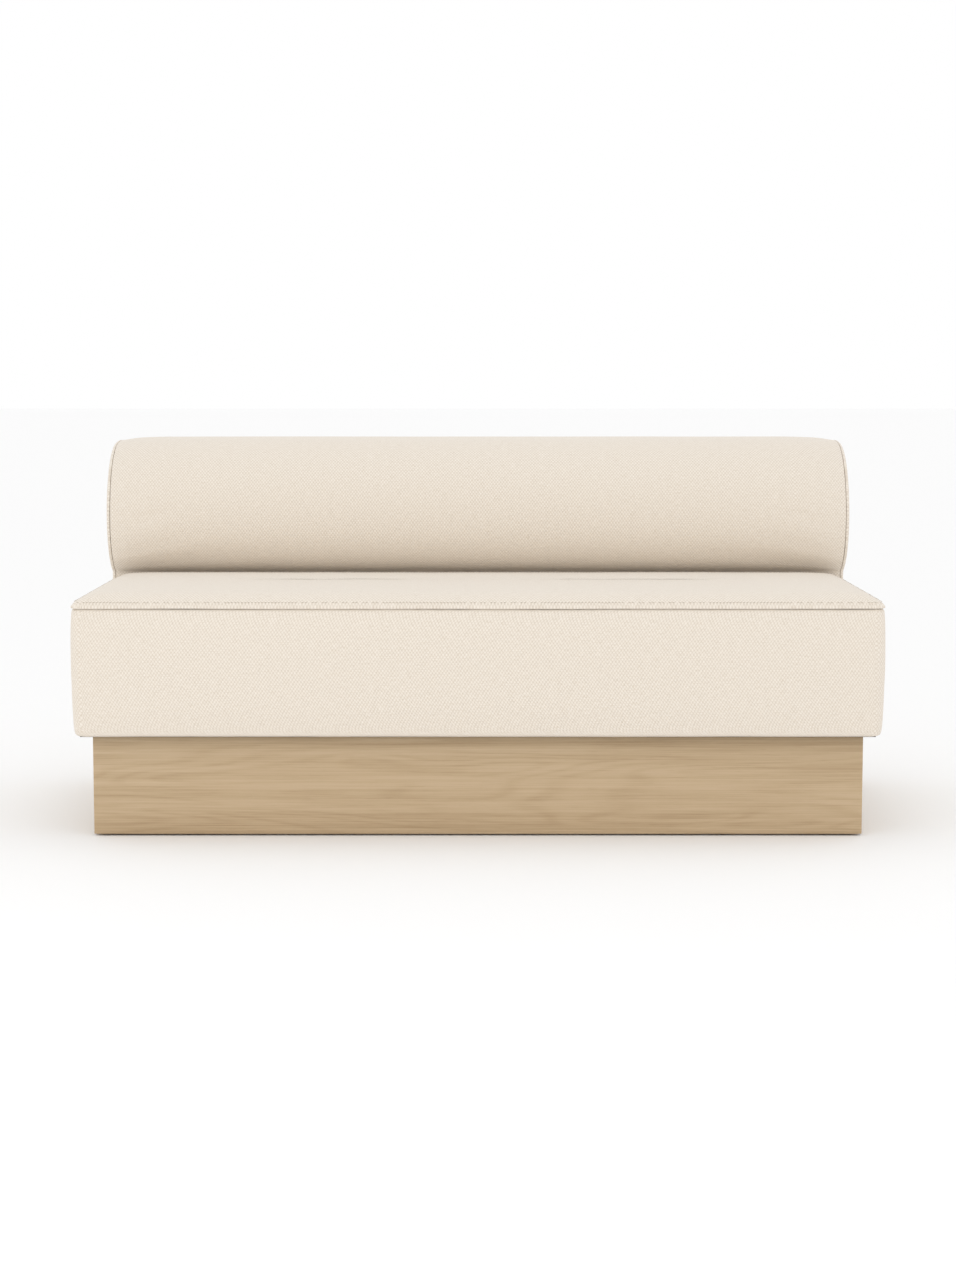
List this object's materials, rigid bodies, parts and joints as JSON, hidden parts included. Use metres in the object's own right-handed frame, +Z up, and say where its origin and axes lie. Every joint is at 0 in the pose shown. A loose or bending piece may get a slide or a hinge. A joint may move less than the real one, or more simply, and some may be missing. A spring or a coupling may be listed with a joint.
{
  "type": "dining sofa",
  "caption": "Long upholstered dining sofa with a boxed seat, a rolled bolster back and a set-back oak plinth.",
  "frame": {"origin": "on the floor, under the middle of the sofa", "axes": "+X to the sitter's left, -Y out of the front, +Z up"},
  "size_m": [1.65, 0.8, 0.8],
  "materials": {
    "upholstery_weave": "cream pebble weave",
    "oak_veneer": "matt pale oak veneer",
    "frame_timber": "sawn pine",
    "frame_plywood": "sanded birch plywood",
    "foam": "open cell foam",
    "felt": "needled felt",
    "dust_cloth": "black spunbond cloth",
    "spring_steel": "oiled spring wire",
    "zinc_steel": "zinc plated",
    "foot_nylon": "black nylon"
  },
  "bodies": {
    "sofa": {"back_board": "frame_plywood", "back_bolts": "zinc_steel", "back_floor_board": "frame_plywood", "back_former": "frame_plywood", "back_front_rail": "frame_timber", "back_left_end_cover": "upholstery_weave", "back_left_end_padding": "foam", "back_left_end_rib": "frame_plywood", "back_middle_ribs": "frame_plywood", "back_rear_cover": "upholstery_weave", "back_rear_padding": "foam", "back_right_end_cover": "upholstery_weave", "back_right_end_padding": "foam", "back_right_end_rib": "frame_plywood", "back_roll_cover": "upholstery_weave", "back_roll_foam": "foam", "back_stringer": "frame_timber", "back_top_rail": "frame_timber", "bolt_nuts": "zinc_steel", "bolt_spacers": "zinc_steel", "bolt_washers": "zinc_steel", "dust_cover": "dust_cloth", "foot_inserts": "zinc_steel", "frame_screws": "zinc_steel", "plinth_battens": "frame_timber", "plinth_corner_posts": "frame_timber", "plinth_cross_rails": "frame_timber", "plinth_front_panel": "oak_veneer", "plinth_left_panel": "oak_veneer", "plinth_rear_panel": "oak_veneer", "plinth_right_panel": "oak_veneer", "plinth_screws": "zinc_steel", "seat_border_padding": "foam", "seat_corner_blocks": "frame_timber", "seat_cross_rails": "frame_timber", "seat_foam_core": "foam", "seat_front_band": "upholstery_weave", "seat_front_rail": "frame_timber", "seat_left_rail": "frame_timber", "seat_rear_band": "upholstery_weave", "seat_rear_rail": "frame_timber", "seat_right_rail": "frame_timber", "seat_springs": "spring_steel", "seat_top_cover": "upholstery_weave", "seat_topper": "foam", "spring_clips": "spring_steel", "spring_felt": "felt", "spring_tie_wires": "spring_steel"},
    "foot_front_left": {"foot_stem_front_left": "zinc_steel", "foot_pad_front_left": "foot_nylon"},
    "foot_front_right": {"foot_stem_front_right": "zinc_steel", "foot_pad_front_right": "foot_nylon"},
    "foot_rear_left": {"foot_stem_rear_left": "zinc_steel", "foot_pad_rear_left": "foot_nylon"},
    "foot_rear_right": {"foot_stem_rear_right": "zinc_steel", "foot_pad_rear_right": "foot_nylon"}
  },
  "joints": [
    {"name": "foot_front_left_height", "type": "slide", "parent": "sofa", "child": "foot_front_left", "axis": [0, 0, -1], "range_m": [0, 0.012]},
    {"name": "foot_front_right_height", "type": "slide", "parent": "sofa", "child": "foot_front_right", "axis": [0, 0, -1], "range_m": [0, 0.012]},
    {"name": "foot_rear_left_height", "type": "slide", "parent": "sofa", "child": "foot_rear_left", "axis": [0, 0, -1], "range_m": [0, 0.012]},
    {"name": "foot_rear_right_height", "type": "slide", "parent": "sofa", "child": "foot_rear_right", "axis": [0, 0, -1], "range_m": [0, 0.012]}
  ]
}
